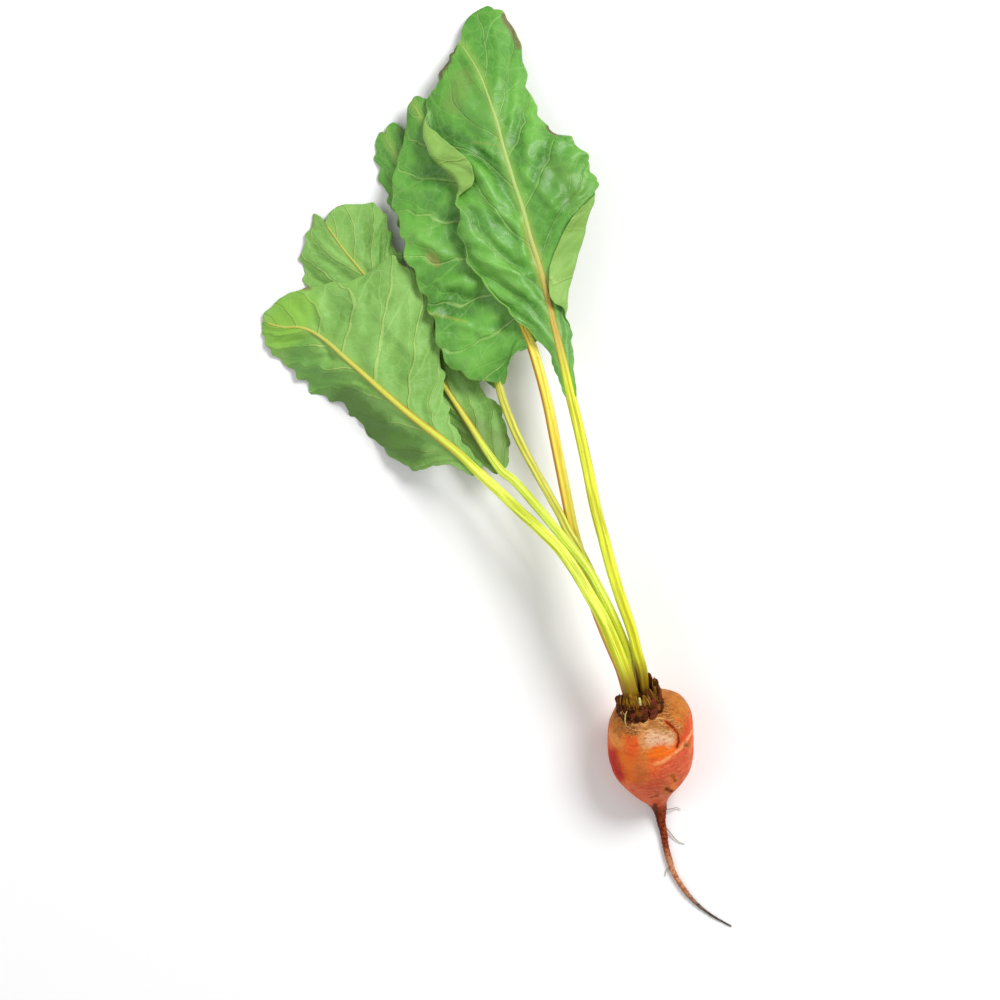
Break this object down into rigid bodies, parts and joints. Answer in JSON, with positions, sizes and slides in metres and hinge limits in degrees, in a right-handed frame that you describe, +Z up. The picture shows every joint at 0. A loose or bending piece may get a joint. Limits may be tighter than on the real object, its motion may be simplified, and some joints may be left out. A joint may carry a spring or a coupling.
{
  "type": "beetroot",
  "caption": "Golden beetroot lying on its side, with a thin tail root, a dry scaly crown, long stalks and waved leaf blades.",
  "frame": {"origin": "centre of the small flat spot on the bulb's lower side, on which the beetroot rests", "axes": "+Z up, +Y along the plant from the bulb to the leaf tips, +X to the right seen from above"},
  "size_m": [0.2749, 0.5385, 0.0572],
  "materials": {
    "root_skin": "smooth moist orange-red skin with corky patches",
    "dry_crown": "dry, scaly, dark brown",
    "shoot": "smooth, pale yellow-green",
    "stalk_lime": "smooth, ribbed lengthwise, lime yellow",
    "stalk_gold": "smooth, ribbed lengthwise, golden yellow",
    "blade_upper": "green, slightly glossy, veined",
    "blade_under": "paler grey-green, raised veins"
  },
  "bodies": {
    "root": {"root": "root_skin", "crown": "dry_crown", "young_shoot": "shoot", "leaf_1_stalk": "stalk_lime", "leaf_1_blade": "blade_upper", "leaf_2_stalk": "stalk_gold", "leaf_2_blade": "blade_upper", "leaf_3_stalk": "stalk_lime", "leaf_3_blade": "blade_under", "leaf_4_stalk": "stalk_lime", "leaf_4_blade": "blade_under", "leaf_5_stalk": "stalk_lime", "leaf_5_blade": "blade_upper"}
  },
  "joints": []
}
